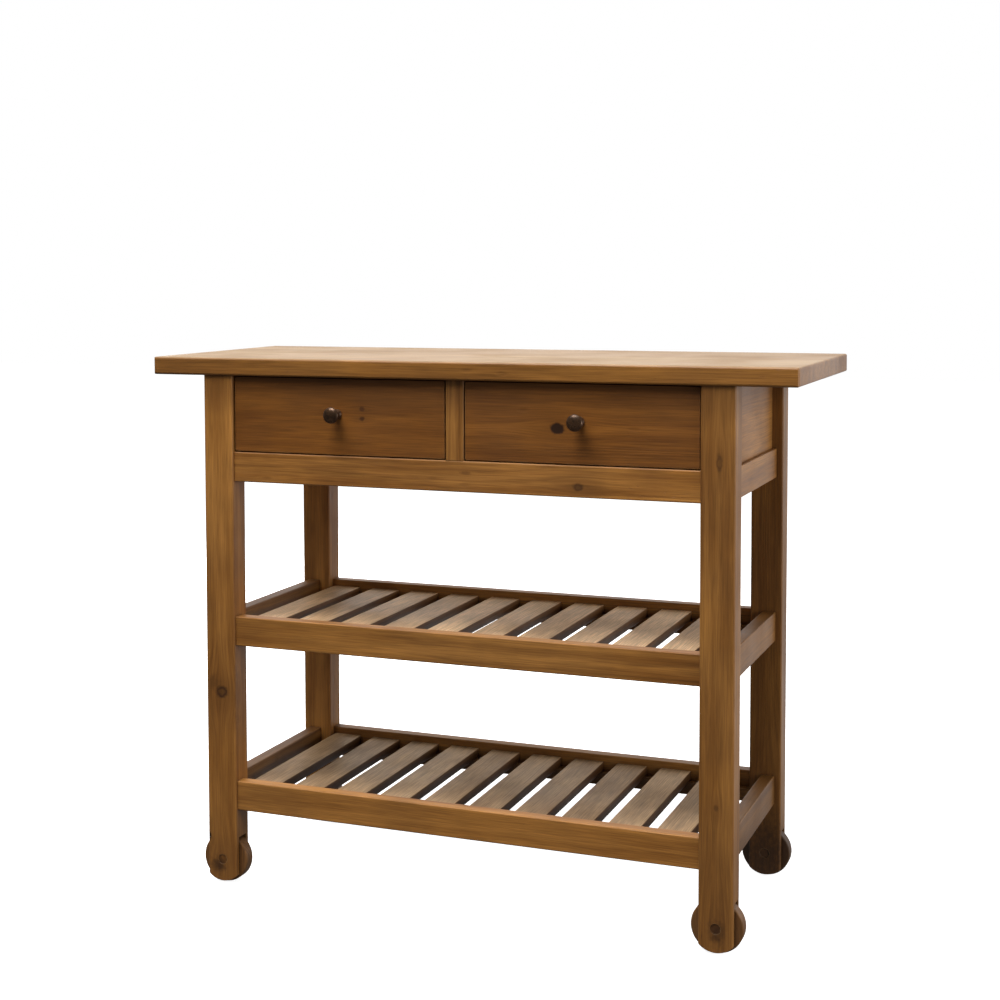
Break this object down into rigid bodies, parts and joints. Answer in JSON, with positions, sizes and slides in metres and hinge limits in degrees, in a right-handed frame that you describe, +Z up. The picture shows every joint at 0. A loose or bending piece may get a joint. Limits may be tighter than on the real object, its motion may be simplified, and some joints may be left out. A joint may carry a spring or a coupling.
{
  "type": "rolling serving table",
  "caption": "Pine serving table on wooden disc wheels: plank worktop with long end overhangs, drawers with round iron knobs below it and open slatted shelves between square legs.",
  "frame": {"origin": "on the floor under the middle of the bounding box, knobs included", "axes": "+X along the table to the right as seen from the drawers, +Y from the drawer fronts to the back, +Z up"},
  "size_m": [1.092, 0.4716, 0.9],
  "materials": {
    "top_pine": "pale waxed pine, worn matt",
    "waxed_pine": "honey brown waxed pine, satin",
    "slat_pine": "grey brown pine, matt",
    "raw_pine": "bare planed pine",
    "wheel_wood": "dark stained wood, satin",
    "dark_iron": "dark oxidised iron",
    "steel": "bright turned steel"
  },
  "bodies": {
    "frame": {"tabletop": "top_pine", "leg_front_left": "waxed_pine", "leg_front_right": "waxed_pine", "leg_back_left": "waxed_pine", "leg_back_right": "waxed_pine", "apron_rail_front": "waxed_pine", "apron_rail_back": "waxed_pine", "apron_rail_left": "waxed_pine", "apron_rail_right": "waxed_pine", "end_panel_left": "waxed_pine", "end_panel_right": "waxed_pine", "back_panel": "waxed_pine", "divider_stile": "waxed_pine", "runner_left": "raw_pine", "runner_centre": "raw_pine", "runner_right": "raw_pine", "kicker_left": "raw_pine", "kicker_centre": "raw_pine", "kicker_right": "raw_pine", "top_screws": "steel", "middle_rail_front": "waxed_pine", "middle_rail_back": "waxed_pine", "middle_rail_left": "waxed_pine", "middle_rail_right": "waxed_pine", "middle_slats": "slat_pine", "middle_battens": "waxed_pine", "lower_rail_front": "waxed_pine", "lower_rail_back": "waxed_pine", "lower_rail_left": "waxed_pine", "lower_rail_right": "waxed_pine", "lower_slats": "slat_pine", "lower_battens": "waxed_pine", "axles": "steel", "axle_plugs": "wheel_wood", "wheel_washers": "steel"},
    "drawer_left": {"drawer_left_front": "waxed_pine", "drawer_left_outer_side": "raw_pine", "drawer_left_inner_side": "raw_pine", "drawer_left_back": "raw_pine", "drawer_left_bottom": "raw_pine", "knob_left": "dark_iron", "knob_screw_left": "steel"},
    "drawer_right": {"drawer_right_front": "waxed_pine", "drawer_right_outer_side": "raw_pine", "drawer_right_inner_side": "raw_pine", "drawer_right_back": "raw_pine", "drawer_right_bottom": "raw_pine", "knob_right": "dark_iron", "knob_screw_right": "steel"},
    "wheel_front_left": {"wheel_front_left": "wheel_wood", "bush_front_left": "steel"},
    "wheel_front_right": {"wheel_front_right": "wheel_wood", "bush_front_right": "steel"},
    "wheel_back_left": {"wheel_back_left": "wheel_wood", "bush_back_left": "steel"},
    "wheel_back_right": {"wheel_back_right": "wheel_wood", "bush_back_right": "steel"}
  },
  "joints": [
    {"name": "drawer_left_slide", "type": "slide", "parent": "frame", "child": "drawer_left", "axis": [0, -1, 0], "range_m": [0, 0.28]},
    {"name": "drawer_right_slide", "type": "slide", "parent": "frame", "child": "drawer_right", "axis": [0, -1, 0], "range_m": [0, 0.28]},
    {"name": "wheel_front_left_spin", "type": "hinge", "parent": "frame", "child": "wheel_front_left", "pos_m": [-0.425, -0.18925, 0.041], "axis": [0, 1, 0], "continuous": true},
    {"name": "wheel_front_right_spin", "type": "hinge", "parent": "frame", "child": "wheel_front_right", "pos_m": [0.425, -0.18925, 0.041], "axis": [0, 1, 0], "continuous": true},
    {"name": "wheel_back_left_spin", "type": "hinge", "parent": "frame", "child": "wheel_back_left", "pos_m": [-0.425, 0.18875, 0.041], "axis": [0, 1, 0], "continuous": true},
    {"name": "wheel_back_right_spin", "type": "hinge", "parent": "frame", "child": "wheel_back_right", "pos_m": [0.425, 0.18875, 0.041], "axis": [0, 1, 0], "continuous": true}
  ]
}
